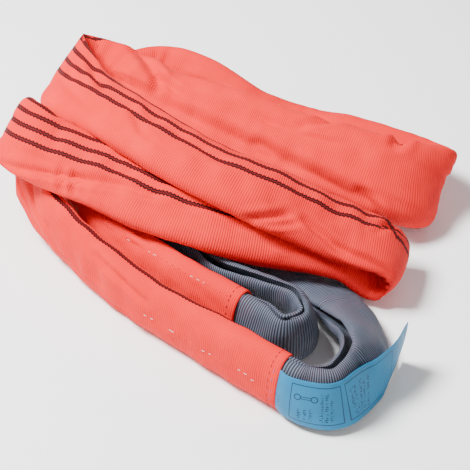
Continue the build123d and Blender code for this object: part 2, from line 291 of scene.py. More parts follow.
def full_wave(wave, fullness=0.86):
    """A wave with broader crests: its sign times its size to a power below one. An ellipse made of
    two such waves swells at its corners."""
    return np.sign(wave) * np.abs(wave) ** fullness


def stuffed_grid(route, angles, grow):
    """Points of a stuffed flat tube at each place: an ellipse with full corners, half-width and
    half-thickness plus grow, at angles from the width direction towards the face direction."""
    across = (route.half_width + grow)[:, None] * full_wave(np.cos(angles))
    deep = (route.half_thickness + grow)[:, None] * full_wave(np.sin(angles))
    return (route.centre[:, None] + route.width[:, None] * across[..., None]
            + route.face[:, None] * deep[..., None])


def cover_angles(places, columns):
    """Angles round the cover, from the seam opposite the striped face's middle and back."""
    stations, degrees = np.array(STRIPED_FACE, dtype=float).T
    middle = np.radians(np.interp(places - MOUTH_1, stations, degrees))
    return middle[:, None] + np.linspace(-np.pi, np.pi, columns, endpoint=False)


def cloth_coordinates(grid, along):
    """For each point of a closed tube: how far along it lies, and how far round from the
    striped face's middle, both in metres, with the closing column added."""
    closed = np.concatenate([grid, grid[:, :1]], axis=1)
    steps = np.linalg.norm(np.diff(closed, axis=1), axis=-1)
    around = np.concatenate([np.zeros((len(grid), 1)), np.cumsum(steps, axis=1)], axis=1)
    middle = around[:, grid.shape[1] // 2]
    around = around - middle[:, None]
    return np.stack([np.broadcast_to(along[:, None], around.shape), around], axis=-1)


def ring_cloth(grid):
    """The cloth coordinates of a grid that is closed both ways, with its closing row added."""
    rows = np.concatenate([grid, grid[:1]])
    steps = np.linalg.norm(np.diff(rows, axis=0), axis=-1).mean(axis=1)
    return cloth_coordinates(rows, np.concatenate([[0], np.cumsum(steps)]))


# Creases pressed into the cover: start and end on the cloth (metres along from mouth 1,
# metres round from the striped face's middle), depth and half-width in millimetres. The strength
# multiplies all depths.
CREASE_STRENGTH = 1.5
CREASES = [
    (0.515, 0.064, 0.600, 0.049, 2.6, 4.0),
    (0.590, 0.050, 0.690, 0.032, 3.0, 4.5),
    (0.680, 0.034, 0.790, 0.024, 1.8, 4.5),
    (0.574, 0.044, 0.584, 0.069, 3.2, 3.2),
    (0.590, 0.044, 0.597, 0.066, 2.6, 2.8),
    (0.505, -0.004, 0.545, -0.016, 1.6, 4.0),
    (0.548, -0.004, 0.556, 0.024, 0.8, 4.0),
    (0.930, 0.052, 0.956, 0.079, 3.6, 4.0),
    (0.975, 0.050, 1.010, 0.066, 2.6, 4.0),
    (1.088, -0.056, 1.040, -0.072, 3.4, 4.0),
    (1.045, -0.070, 0.985, -0.080, 2.8, 4.0),
    (1.140, -0.080, 1.106, -0.058, 3.6, 4.2),
    (1.126, -0.080, 1.094, -0.064, 2.4, 3.0),
    (1.012, -0.026, 0.980, -0.012, 2.2, 3.5),
    (1.010, -0.038, 0.988, -0.004, 2.0, 3.0),
    (1.440, 0.006, 1.366, -0.018, 2.2, 4.0),
    (1.318, -0.022, 1.280, -0.043, 1.8, 4.0),
    (1.557, 0.043, 1.608, 0.076, 4.4, 5.5),
    (1.607, 0.072, 1.622, 0.098, 3.6, 5.0),
    (1.608, 0.074, 1.650, 0.088, 2.4, 4.0),
    (1.640, 0.048, 1.800, 0.052, 3.4, 6.0),
    (1.796, 0.082, 1.850, 0.056, 3.4, 5.0),
    (1.615, -0.086, 1.770, -0.064, 4.4, 8.0),
    (1.755, -0.066, 1.890, -0.040, 4.4, 8.0),
    (1.900, 0.089, 1.922, 0.050, 5.5, 6.5),
    (1.880, -0.050, 1.916, -0.026, 3.0, 5.0),
    (0.250, -0.047, 0.170, -0.060, 2.4, 4.0),
    (0.420, 0.050, 0.345, 0.066, 2.6, 4.0),
    (0.395, -0.060, 0.330, -0.072, 2.4, 4.0),
    (2.700, 0.060, 2.780, 0.074, 2.0, 4.0),
    (2.200, 0.040, 2.330, 0.030, 2.4, 5.0),
    (2.050, -0.030, 2.120, 0.010, 2.6, 5.0),
]

# Where the cloth stands fuller: middle and reach along, middle and reach round, height in
# millimetres.
PUFFS = [
    (1.690, 0.110, 0.028, 0.035, 4.5),
    (1.860, 0.050, 0.020, 0.040, 3.0),
    (1.955, 0.035, 0.030, 0.050, 3.5),
    (0.640, 0.060, 0.000, 0.050, 1.8),
    (0.860, 0.080, 0.070, 0.030, 2.0),
    (1.240, 0.080, -0.030, 0.035, 2.0),
    (2.300, 0.090, 0.020, 0.045, 3.5),
    (1.400, 0.055, -0.073, 0.024, 7.5),
    (0.505, 0.050, -0.022, 0.022, 5.5),
    (1.500, 0.035, 0.030, 0.022, -4.5),
    (1.575, 0.030, 0.078, 0.024, 8.0),
    (1.720, 0.110, 0.072, 0.016, 4.5),
    (1.925, 0.050, -0.038, 0.026, 9.0),
    (0.495, 0.050, 0.035, 0.030, -4.0),
]


def puff_height(along, around):
    """How far the puffs lift each point of the cloth, in metres: hills that fall off with the
    exponential of minus the squared distance."""
    height = np.zeros(along.shape)
    for middle, reach, side, spread, lift in PUFFS:
        hill = np.exp(-((along - middle) / reach) ** 2 - ((around - side) / spread) ** 2)
        height += lift * MM * hill
    return height


def crease_depth(along, around):
    """How deep the creases are at each point of the cloth, in metres: a rounded groove on a
    line between two points, with a low ridge beside it, that fades towards its ends."""
    depth = np.zeros(along.shape)
    for start_along, start_around, end_along, end_around, deep, wide in CREASES:
        line = np.array([end_along - start_along, end_around - start_around])
        length = np.hypot(*line)
        line = line / length
        run = ((along - start_along) * line[0] + (around - start_around) * line[1]) / length
        off = (around - start_around) * line[0] - (along - start_along) * line[1]
        beyond = np.maximum(np.abs(run - 0.5) - 0.5, 0) * length
        reach = np.hypot(off, beyond) / (wide * MM)
        fade = np.clip(1.15 - np.abs(2 * run - 1) ** 2 * 0.6, 0.3, 1)
        groove = np.exp(-reach**2) - 0.35 * np.exp(-((reach - 2.1) / 0.9) ** 2)
        depth += CREASE_STRENGTH * deep * MM * groove * fade
    return depth


COVER_SWELLS = [(0.11, 3, 2.4), (0.045, 4, 1.3), (0.021, 5, 0.45)]   # cell, seed, height in mm
CALM_BEND = 20           # bend, per metre, at which the swells are halved
PUCKER_BEND = 16         # bend at which the puckers are full
PUCKER_PITCH = 0.019
END_CALM = 0.06          # the stretch at each mouth where the cloth lies calmer


def bend_of(route):
    """How sharply the strand turns towards its face direction at each place, per metre."""
    along = route.length()
    turn = np.gradient(route.forward, along, axis=0)
    return np.sum(turn * route.face, axis=1)


def cover_surface(strength):
    """The cover's outer face: the stuffed tube round both legs, swollen and dented by soft noise
    except where the strand bends sharply, with puckers across the inner side of each fold, the
    puffs added and the creases pressed in."""
    places = even_places(MOUTH_1, MOUTH_2, COVER_SPACING)
    route = Route(places)
    along = route.length()
    angles = cover_angles(places, COVER_COLUMNS)
    grid = stuffed_grid(route, angles, COVER_STAND)
    cloth = cloth_coordinates(grid, along)
    around = cloth[:, :-1, 1]
    run = np.broadcast_to(along[:, None], around.shape)
    outward = normals_of_grid(grid)
    flat_side = np.abs(np.sin(angles))
    bend = bend_of(route)[:, None]
    swell = sum(soft_noise(run, around, cell, seed) * high for cell, seed, high in COVER_SWELLS)
    swell = swell / (1 + (bend / CALM_BEND) ** 2)
    inner = np.clip(bend * np.sin(angles) / PUCKER_BEND, 0, 1)
    puckers = np.sin(2 * np.pi * run / PUCKER_PITCH + 3 * soft_noise(run, around, 0.05, 7))
    lengthwise = np.clip(soft_noise(run / 4, around, 0.03, 9) - 0.45, 0, 1)
    lift = (swell * flat_side + 2.4 * inner * puckers - 3.0 * lengthwise * flat_side) * MM
    lift += puff_height(run, around)
    ends = np.clip(np.minimum(run, along[-1] - run) / END_CALM, 0, 1)
    lift = strength * lift * (0.25 + 0.75 * ends)
    lift = np.maximum(lift - crease_depth(run, around), -DEEPEST)
    return route, grid + outward * lift[..., None], cloth, angles


def hem_rows(route, outer, end):
    """Rows of points from a mouth's outer face round its edge, on a half circle as wide as the hem
    is thick: end is 0 for the first mouth and -1 for the second."""
    towards = unit(route.centre[end] - outer[end])
    edge = outer[end] + towards * (HEM_WALL / 2)
    out = route.forward[end] * (-1 if end == 0 else 1)
    turn = np.linspace(0, np.pi, 5)[1:-1]
    return np.array([edge - towards * (HEM_WALL / 2) * np.cos(a) + out * (HEM_WALL / 2) * np.sin(a)
                     for a in turn])


def cover_grid(outer, route):
    """The whole cover as a closed ring of rows: the outer face, over the edge of mouth 2, back
    along the inner face with fewer rows away from the mouths, and over the edge of mouth 1."""
    towards = unit(route.centre[:, None] - outer)
    rows = np.arange(len(outer))
    near = np.minimum(rows, rows[::-1])
    keep = (near < 6) | (rows % 4 == 0)
    share = np.clip(near / 5, 0, 1)[:, None, None]
    inner = outer + towards * (HEM_WALL + (INNER_WALL - HEM_WALL) * share)
    return np.concatenate([outer, hem_rows(route, outer, -1), inner[keep][::-1],
                           hem_rows(route, outer, 0)[::-1]])


def build_cover(props):
    """Makes the cover from its outer face and its inner one."""
    route, outer, _, _ = finished_cover(props)
    grid = cover_grid(outer, route)
    mesh = mesh_of_grid("body_cover_cloth", grid, ring_cloth(grid), True, True)
    cover = piece_of(mesh, "sling", cover_material(props), ["body_cover"])
    return cover


# ---- the grey sleeve ----

def leg_grid(route, turn, columns, inset, swell):
    """Points round one leg at each place: half an ellipse on a flat that faces the other leg,
    turned about the width direction by an angle per place. The flat swells a little."""
    spin = np.linspace(0, 2 * np.pi, columns, endpoint=False)
    side = np.cos(spin)
    rise = np.sin(spin)
    flat = route.gap / 2 + inset
    height = route.half_thickness - inset - flat
    across = (route.half_width - inset)[:, None] * np.sign(side) * np.abs(side) ** 0.9
    deep = flat[:, None] + np.where(rise > 0, height[:, None] * np.abs(rise) ** 0.85,
                                    -swell[:, None] * np.abs(rise) ** 0.7)
    up = (route.face * np.cos(turn)[:, None] + route.forward * np.sin(turn)[:, None])
    return (route.centre[:, None] + route.width[:, None] * across[..., None]
            + up[:, None] * deep[..., None])


def endless(out, steps):
    """Places and turns of the rows of an endless leg: out along the strand, half round the bight
    of eye 2 in so many steps, back along the strand and half round the bight of eye 1."""
    bight = np.linspace(0, np.pi, steps + 1)[1:-1]
    places = np.concatenate([out, np.full(len(bight), LAST), out[::-1], np.zeros(len(bight))])
    turns = np.concatenate([np.zeros(len(out)), bight, np.full(len(out), np.pi), np.pi + bight])
    return places, turns


def sleeve_rows():
    """Rows of the sleeve, close together in the eyes and farther apart inside the cover."""
    eye_1 = even_places(0, MOUTH_1 + 0.6, SLEEVE_SPACING)
    inside = even_places(MOUTH_1 + 0.6, MOUTH_2 - 0.6, HIDDEN_SPACING)[1:-1]
    eye_2 = even_places(MOUTH_2 - 0.6, LAST, SLEEVE_SPACING)
    return endless(np.concatenate([eye_1, inside, eye_2]), 11)


def build_sleeve(props):
    """Makes the endless sleeve, slimmer where the cover hides it."""
    places, turns = sleeve_rows()
    route = Route(places)
    hidden = np.clip(np.minimum(places - MOUTH_1 - 0.05, MOUTH_2 - 0.05 - places) / 0.5, 0, 1)
    route.half_width = route.half_width - HIDDEN_INSET * hidden
    route.half_thickness = route.half_thickness - HIDDEN_INSET * hidden
    grid = leg_grid(route, turns, 72, np.zeros(len(places)), np.full(len(places), 0.0004))
    outward = normals_of_grid(grid, round_rows=True)
    uvs = ring_cloth(grid)
    run, around = uvs[:-1, :-1, 0], uvs[:-1, :-1, 1]
    swell = (soft_noise(run, around, 0.07, 21) * 1.5 + soft_noise(run, around, 0.025, 22) * 0.6
             - 3.5 * np.clip(soft_noise(run, around / 3, 0.035, 23) - 0.6, 0, 1))
    lift = swell * (1 - hidden)[:, None] * MM * props.creasing
    grid = on_floor(grid + outward * lift[..., None])
    mesh = mesh_of_grid("eye_sleeve_cloth", grid, uvs, True, True)
    sleeve = piece_of(mesh, "sling", sleeve_material(props),
                      ["eye_sleeve_1", "eye_sleeve_2", "leg_sleeve_1", "leg_sleeve_2"])
    return sleeve


# ---- inside the cover ----

def slim_route(places):
    """The route with its legs drawn in, so that what lies inside the cloth stays inside it."""
    route = Route(places)
    route.half_width = route.half_width - HANK_INSET
    route.gap = route.gap * 0.9
    room = route.half_thickness - route.gap / 2
    route.half_thickness = route.gap / 2 + room * HANK_SHARE
    return route


def ring_piece(name, grid, material, node):
    """Makes a piece of a grid that is closed both ways, with the cloth coordinates it needs."""
    mesh = mesh_of_grid(name, grid, ring_cloth(grid), True, True)
    return piece_of(mesh, "sling", material, [node])


def build_core(props):
    """Makes the yarn hank, its tape and the sleeve's joint, which the sleeve hides."""
    places, turns = endless(even_places(0, LAST, 0.015), 7)
    route = slim_route(places)
    room = route.half_thickness - route.gap / 2
    grid = leg_grid(route, turns, 32, 0.3 * room, np.zeros(len(places)))
    hank = ring_piece("core_hank_yarn", grid, yarn_material(props), "core_hank")
    for name, node, slot, middle, reach in (
            ("core_tape_band", "core_tape", "tape", SPLICE, 0.35),
            ("sleeve_joint_rows", "sleeve_joint_thread", "thread_grey", SLEEVE_JOINT, 0.12)):
        band = slim_route(np.linspace(middle - reach, middle + reach, 9))
        room = band.half_thickness - band.gap / 2
        outer, inner = (leg_grid(band, np.zeros(9), 32, share * room, np.zeros(9))
                        for share in (0.22, 0.27))
        ring_piece(name, np.concatenate([outer, inner[::-1]]),
                   thread_material(name, (0.8, 0.78, 0.7)), node)


# ---- stitches ----

def stitch_points(length, thick, rings=6, sides=6):
    """A stitch about its own middle: a round thread whose ends bend down and close in points."""
    along = np.linspace(-1, 1, rings)
    radius = thick / 2 * np.sqrt(np.clip(1.02 - along**4, 0.02, 1))
    spin = np.linspace(0, 2 * np.pi, sides, endpoint=False)
    x = np.broadcast_to((along * length / 2)[:, None], (rings, sides))
    y = radius[:, None] * np.cos(spin)
    z = radius[:, None] * np.sin(spin) - (thick * 0.9 * along**4)[:, None]
    return np.stack([x, y, z], axis=-1)


def stitches_mesh(name, points, outward, direction, length, thick):
    """One mesh of stitches, each laid on its point along its direction."""
    side = np.cross(outward, direction)
    shape = stitch_points(length, thick)
    rings, sides = shape.shape[:2]
    placed = (points[:, None, None] + direction[:, None, None] * shape[None, ..., :1]
              + side[:, None, None] * shape[None, ..., 1:2]
              + outward[:, None, None] * shape[None, ..., 2:])
    count = len(points)
    ring, column = np.meshgrid(np.arange(rings - 1), np.arange(sides), indexing="ij")
    following = (column + 1) % sides
    quads = np.stack([ring * sides + column, ring * sides + following,
                      (ring + 1) * sides + following, (ring + 1) * sides + column],
                     axis=-1).reshape(-1, 4)
    caps = [list(range(sides))[::-1], [(rings - 1) * sides + k for k in range(sides)]]
    faces = []
    for number in range(count):
        base = number * rings * sides
        faces += (quads[:, ::-1] + base).tolist() + [[base + k for k in cap[::-1]] for cap in caps]
    mesh = bpy.data.meshes.new(name)
    mesh.from_pydata(placed.reshape(-1, 3).tolist(), [], faces)
    mesh.polygons.foreach_set("use_smooth", np.ones(len(faces), dtype=bool))
    return mesh


HEM_STITCHES = 24        # round each mouth
SEAM_STITCHES = 20       # of each centre seam
SEAM_START = 0.014       # from the mouth's edge to the first of them
SEAM_PITCH = 0.008
SEAMS = [(1, -90, 1), (2, 35, -1)]     # number, degrees round the strand, direction inwards


def build_hem_stitches(props, cover):
    """Makes the row of stitches round each mouth, on the cover's outer face."""
    _, outer, _, _ = cover
    row = int(round(HEM_ROW / COVER_SPACING))
    for number, index in ((1, row), (2, len(outer) - 1 - row)):
        ring = outer[index]
        at = np.linspace(0, len(ring), HEM_STITCHES, endpoint=False).astype(int)
        points = ring[at]
        direction = unit(ring[(at + 1) % len(ring)] - ring[at - 1])
        outward = normals_of_grid(outer[index - 1:index + 2])[1][at]
        mesh = stitches_mesh(f"hem_stitches_{number}", points + outward * 0.0002, outward,
                             direction, 0.0042, 0.0009)
        piece_of(mesh, "sling", thread_material(mesh.name, props.thread_colour),
                 [f"hem_stitching_{number}"])


def column_at(spin):
    """The cover's column nearest to an angle from its first column."""
    return np.round(spin % (2 * np.pi) / (2 * np.pi) * COVER_COLUMNS).astype(int) % COVER_COLUMNS


def build_centre_seams(props, cover):
    """Makes the pale stitches down the plain face, from each mouth inwards."""
    _, outer, cloth, angles = cover
    along = cloth[:, 0, 0]
    for number, turn, sign in SEAMS:
        starts = SEAM_START + SEAM_PITCH * np.arange(SEAM_STITCHES)
        at = starts if sign == 1 else along[-1] - starts
        rows = np.clip(np.searchsorted(along, at), 1, len(along) - 2)
        columns = column_at(np.radians(turn) - angles[rows, 0])
        points = outer[rows, columns]
        direction = unit(outer[rows + 1, columns] - outer[rows - 1, columns])
        outward = normals_of_grid(outer)[rows, columns]
        mesh = stitches_mesh(f"centre_seam_thread_{number}", points, outward, direction, 0.0052,
                             0.0008)
        piece_of(mesh, "sling",
                 thread_material(mesh.name, props.seam_colour, props.colour),
                 [f"centre_seam_{number}"])


# ---- the label ----

# Centres, in millimetres among the stations, and width directions of the label's free end.
LABEL_FREE = [
    ((268, -139, 35), (-0.25, 0.0, 0.95)),
    ((270, -121, 36), (-0.15, 0.0, 1.0)),
    ((268, -96, 37), (0.05, -0.1, 1.0)),
    ((262, -70, 38), (0.2, -0.3, 0.9)),
]
LABEL_LOW, LABEL_HIGH = -0.029, 0.025
LABEL_THICK = 0.0008
LABEL_STAND = 0.0019     # off the eye's cloth
LABEL_TUCK = 0.0030      # how far its sewn end is drawn in under the hem
LABEL_COLUMNS = 41       # points across one face
LEG_EDGE = 0.0325        # half the width of the leg that the label bends over
LEG_RISE = 0.0125        # height of that leg's middle over its edges


def label_line():
    """Centres and width directions of the label: along the outer leg of eye 1 and then free."""
    places = np.linspace(MOUTH_1 + 0.06, 6.6, 9)
    route = Route(places)
    off = route.half_thickness + LABEL_STAND + LABEL_THICK / 2
    off[0] -= LABEL_TUCK
    centres = route.centre - route.face * off[:, None]
    free = np.array([(np.array(point) - ORIGIN) * MM for point, _ in LABEL_FREE])
    free_widths = unit(np.array([width for _, width in LABEL_FREE]))
    return np.concatenate([centres, free]), np.concatenate([route.width, free_widths])


def build_label(props):
    """Makes the label as a thin strip with two faces and rounded edges. Its edges bend round the
    leg, most at the sewn end, with a shallow wave along it and a bulge at its lower edge."""
    centres, widths = label_line()
    at = np.linspace(0, len(centres) - 1, 120)
    centre = read_between(centres, at)
    width = unit(read_between(widths, at))
    forward = unit(np.gradient(centre, axis=0))
    width = unit(width - forward * np.sum(width * forward, axis=1, keepdims=True))
    face = np.cross(forward, width)
    along = np.concatenate([[0], np.cumsum(np.linalg.norm(np.diff(centre, axis=0), axis=1))])
    half = LABEL_THICK / 2
    edge = np.linspace(LABEL_LOW, LABEL_HIGH, LABEL_COLUMNS)
    profile = np.concatenate([np.stack([edge, np.full(LABEL_COLUMNS, half)], axis=1),
                              [[LABEL_HIGH + half * 0.7, 0.0]],
                              np.stack([edge[::-1], np.full(LABEL_COLUMNS, -half)], axis=1),
                              [[LABEL_LOW - half * 0.7, 0.0]]])
    wave = 0.0009 * np.sin(along / 0.017)[:, None] * (profile[:, 0] / 0.03)[None]
    low = np.clip(profile[:, 0] / LABEL_LOW, 0, 1)[None] ** 2
    bulge = 0.003 * np.exp(-((along - 0.070) / 0.03) ** 2)[:, None] * low
    level = np.clip(1 - np.abs(profile[:, 0] / LEG_EDGE) ** 2.2, 0, 1) ** 0.43
    drop = LEG_RISE * (1 - level)[None]
    hug = 0.30 + 0.70 * np.exp(-along / 0.030)
    wave = wave * (1 - np.exp(-along / 0.02))[:, None] - drop * hug[:, None]
    grid = (centre[:, None] + width[:, None] * profile[None, :, :1]
            + face[:, None] * (profile[None, :, 1:] + (wave + bulge)[..., None]))
    first, last = (np.repeat(row.mean(axis=1, keepdims=True), len(profile), axis=1)
                   for row in (grid[:1], grid[-1:]))
    grid = np.concatenate([first, grid, last])
    run = np.concatenate([[along[0]], along, [along[-1]]])
    across = np.concatenate([profile[:, 0], profile[:1, 0]])
    uvs = np.stack(np.meshgrid(run, across, indexing="ij"), axis=-1)
    mesh = mesh_of_grid("label_strip", grid, uvs, False, True)
    label = piece_of(mesh, None, label_material(props), ["label"])
    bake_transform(label)
    return label


def build_label_stitches(props, cover):
    """Makes the short row that holds the label's end in mouth 1."""
    _, outer, _, angles = cover
    row = 1
    across = np.linspace(-0.024, 0.020, 5)
    columns = column_at(-np.arccos(across / 0.034) - angles[row, 0])
    points = outer[row, columns]
    outward = normals_of_grid(outer[row - 1:row + 2])[1][columns]
    direction = unit(outer[row, (columns + 1) % COVER_COLUMNS] - outer[row, columns - 1])
    mesh = stitches_mesh("label_stitches", points, outward, direction, 0.0050, 0.0008)
    piece_of(mesh, "sling", thread_material(mesh.name, props.thread_colour),
             ["label_stitching"])


# ---- materials ----

class Paint:
    """A node material being put together: a shader and short calls for its nodes."""

    def __init__(self, name, roughness, sheen=0.0, tint=(1, 1, 1), specular=0.3):
        self.material = bpy.data.materials.new(name)
        self.material.use_nodes = True
        self.tree = self.material.node_tree
        self.shader = self.tree.nodes["Principled BSDF"]
        self.shader.inputs["Roughness"].default_value = roughness
        self.shader.inputs["Sheen Weight"].default_value = sheen
        self.shader.inputs["Sheen Roughness"].default_value = 0.5
        self.shader.inputs["Sheen Tint"].default_value = (*tint, 1)
        self.shader.inputs["Specular IOR Level"].default_value = specular

    def node(self, kind, **settings):
        made = self.tree.nodes.new(kind)
        for name, value in settings.items():
            setattr(made, name, value)
        return made

    def put(self, socket, value):
        if isinstance(value, bpy.types.NodeSocket):
            self.tree.links.new(value, socket)
        else:
            socket.default_value = value

    def math(self, operation, first, second=0.0, third=0.0):
        made = self.node("ShaderNodeMath", operation=operation)
        for socket, value in zip(made.inputs, (first, second, third)):
            self.put(socket, value)
        return made.outputs[0]

    def step(self, value, low, high, start=0.0, end=1.0):
        """A smooth step of value from low to high, as start to end."""
        made = self.node("ShaderNodeMapRange", interpolation_type="SMOOTHSTEP")
        for name, entry in (("Value", value), ("From Min", low), ("From Max", high),
                            ("To Min", start), ("To Max", end)):
            self.put(made.inputs[name], entry)
        return made.outputs[0]

    def mix(self, share, first, second):
        made = self.node("ShaderNodeMix", data_type="RGBA")
        for socket, value in zip((made.inputs[0], made.inputs[6], made.inputs[7]),
                                 (share, first, second)):
            self.put(socket, (*value, 1) if isinstance(value, tuple) else value)
        return made.outputs[2]

    def noise(self, scale, detail):
        """Noise from 0 to 1 in the object's own space."""
        made = self.node("ShaderNodeTexNoise")
        made.inputs["Scale"].default_value = scale
        made.inputs["Detail"].default_value = detail
        self.put(made.inputs["Vector"], self.node("ShaderNodeTexCoord").outputs["Object"])
        return made.outputs["Fac"]

    def cloth(self):
        """The two distances on the cloth, along and around, in metres."""
        made = self.node("ShaderNodeUVMap", uv_map="cloth")
        split = self.node("ShaderNodeSeparateXYZ")
        self.put(split.inputs[0], made.outputs["UV"])
        return split.outputs[0], split.outputs[1]

    def wave(self, value, pitch, shift=0.0):
        """A wave of the value from 0 to 1 and back, once per pitch."""
        angle = self.math("MULTIPLY_ADD", value, 2 * np.pi / pitch, shift)
        return self.math("MULTIPLY_ADD", self.math("SINE", angle), 0.5, 0.5)

    def finish(self, colour, height, distance, strength=1.0):
        self.put(self.shader.inputs["Base Color"], colour)
        bump = self.node("ShaderNodeBump")
        bump.inputs["Distance"].default_value = distance
        bump.inputs["Strength"].default_value = strength
        self.put(bump.inputs["Height"], height)
        self.put(self.shader.inputs["Normal"], bump.outputs[0])
        return self.material


def weave(paint, along, around, rib):
    """A ribbed weave's height: round ribs across the cloth, cut by fine yarns along it."""
    wander = paint.math("MULTIPLY", paint.noise(60, 2), 0.0012)
    ribs = paint.wave(paint.math("ADD", along, wander), rib)
    yarns = paint.wave(around, 0.0014)
    crossed = paint.math("MULTIPLY", yarns, paint.math("SUBTRACT", 1.2, ribs))
    return ribs, paint.math("MULTIPLY_ADD", crossed, 0.35, ribs)


ZIGZAG = 0.0022          # length of one leg of the stripes' zig-zag


def cover_material(props):
    """Red ribbed cloth with five dark lengthwise stripes of zig-zag yarn on one face. A stripe is
    where the distance round, less a zig-zag, is within half a width of a multiple of the pitch."""
    paint = Paint("cover_cloth_red", 0.78, 0.03, (1.0, 0.4, 0.3), 0.15)
    along, around = paint.cloth()
    ribs, height = weave(paint, along, around, props.rib_pitch)
    zigzag = paint.math("MULTIPLY", paint.math("PINGPONG", along, ZIGZAG), 0.6)
    shifted = paint.math("ADD", paint.math("ADD", around, zigzag), -0.3 * ZIGZAG)
    pitch = props.stripe_pitch
    place = paint.math("ADD", paint.math("ABSOLUTE", shifted), pitch / 2)
    off = paint.math("ABSOLUTE", paint.math("SUBTRACT", paint.math("MODULO", place, pitch),
                                            pitch / 2))
    on_face = paint.math("LESS_THAN", paint.math("ABSOLUTE", around), pitch * 2.5)
    band = paint.step(off, props.stripe_width / 2 - 0.0003, props.stripe_width / 2 + 0.0003, 1, 0)
    core = paint.step(off, 0.0002, 0.0006, 0.72, 1)
    stripe = paint.math("MULTIPLY", paint.math("MULTIPLY", band, core), on_face)
    # Painted shade in the grooves between the ribs: there the red falls to 0.62 of itself.
    deep = tuple(c * 0.62 for c in props.colour)
    red = paint.mix(paint.math("MULTIPLY_ADD", ribs, 0.55, 0.45), deep, tuple(props.colour))
    worn = paint.mix(paint.step(paint.noise(22, 4), 0.42, 0.75, 0, 0.45), red,
                     tuple(props.faded_colour))
    colour = paint.mix(paint.math("MULTIPLY", stripe, 0.99), worn, tuple(props.stripe_colour))
    raised = paint.math("MULTIPLY_ADD", stripe, 0.5, height)
    return paint.finish(colour, raised, 0.0005, 0.8)


def sleeve_material(props):
    """Grey ribbed cloth: bluish on the crests of its ribs, with painted shade between them that
    makes the whole sleeve darker, and a trace of red in that painted shade in places."""
    paint = Paint("sleeve_cloth_grey", 0.62, 0.03, (0.85, 0.92, 1.0), 0.25)
    along, around = paint.cloth()
    ribs, height = weave(paint, along, around, props.rib_pitch)
    # Painted shade between the ribs: the groove colour, tinged with red in places by noise.
    dark = paint.mix(paint.step(paint.noise(35, 3), 0.4, 0.7), tuple(props.shade_colour),
                     tuple(props.warm_colour))
    # Squaring the ribs lets the painted shade of the grooves cover most of the cloth, which
    # darkens the whole sleeve; the crests keep the bluish grey.
    crests = paint.math("MULTIPLY", ribs, ribs)
    colour = paint.mix(paint.math("MULTIPLY_ADD", crests, 0.9, 0.05), dark, tuple(props.colour))
    return paint.finish(colour, height, 0.0006, 0.9)


def yarn_material(props):
    """Bundled filament yarn: fine strands along the hank."""
    paint = Paint("hank_yarn", 0.5, 0.2)
    along, around = paint.cloth()
    strands = paint.wave(paint.math("MULTIPLY_ADD", paint.noise(18, 3), 0.01, around), 0.0012)
    colour = paint.mix(strands, (0.55, 0.53, 0.48), (0.86, 0.85, 0.80))
    return paint.finish(colour, strands, 0.0006)


def thread_material(name, colour, sunk=None):
    """Sewing thread: twisted plies across each stitch. Where a sunk colour is given, most of the
    thread has it and only bits keep the first."""
    paint = Paint(f"thread_{name}", 0.6, 0.0)
    place = paint.node("ShaderNodeTexCoord").outputs["Object"]
    split = paint.node("ShaderNodeSeparateXYZ")
    paint.put(split.inputs[0], place)
    lean = paint.math("ADD", paint.math("ADD", split.outputs[0], split.outputs[1]),
                      split.outputs[2])
    plies = paint.wave(lean, 0.0007)
    shown = paint.mix(plies, tuple(c * 0.6 for c in colour), tuple(colour))
    if sunk:
        bare = paint.math("GREATER_THAN", paint.noise(55, 1), 0.56)
        shown = paint.mix(bare, tuple(sunk), shown)
    return paint.finish(shown, plies, 0.0002)


def box_reach(paint, along, around, low, high):
    """How far a point of the cloth is outside a box from low to high (along, around): the larger
    of its distances beyond the box's half sizes, negative inside."""
    beyond = [paint.math("SUBTRACT", paint.math("ABSOLUTE", paint.math(
        "SUBTRACT", value, (a + b) / 2)), (b - a) / 2)
        for value, a, b in zip((along, around), low, high)]
    return paint.math("MAXIMUM", *beyond)


def box_line(paint, along, around, low, high, thick):
    """1 on the outline of a box on the cloth, else 0."""
    reach = box_reach(paint, along, around, low, high)
    return paint.math("LESS_THAN", paint.math("ABSOLUTE", reach), thick / 2)


def filled_box(paint, along, around, low, high):
    """1 inside a box on the cloth, else 0."""
    return paint.math("LESS_THAN", box_reach(paint, along, around, low, high), 0.0)


def ring_line(paint, along, around, centre, radius, thick):
    """1 on a ring on the cloth, else 0."""
    x = paint.math("SUBTRACT", along, centre[0])
    y = paint.math("SUBTRACT", around, centre[1])
    reach = paint.math("SQRT", paint.math("ADD", paint.math("MULTIPLY", x, x),
                                          paint.math("MULTIPLY", y, y)))
    off = paint.math("ABSOLUTE", paint.math("SUBTRACT", reach, radius))
    return paint.math("LESS_THAN", off, thick / 2)


# Rows of dashes on the label: where each starts along it, and where it runs across from and to.
ROW_HEIGHT = 0.0032
DASHED_ROWS = [
    (0.030, -0.020, -0.008), (0.036, -0.020, -0.008), (0.042, -0.020, -0.006),
    (0.052, -0.020, 0.014), (0.057, -0.020, 0.014), (0.062, -0.020, 0.006),
    (0.008, -0.012, -0.002), (0.084, -0.020, 0.012), (0.089, -0.020, 0.012),
    (0.096, -0.020, 0.014), (0.101, -0.020, 0.010), (0.108, -0.020, 0.014),
]


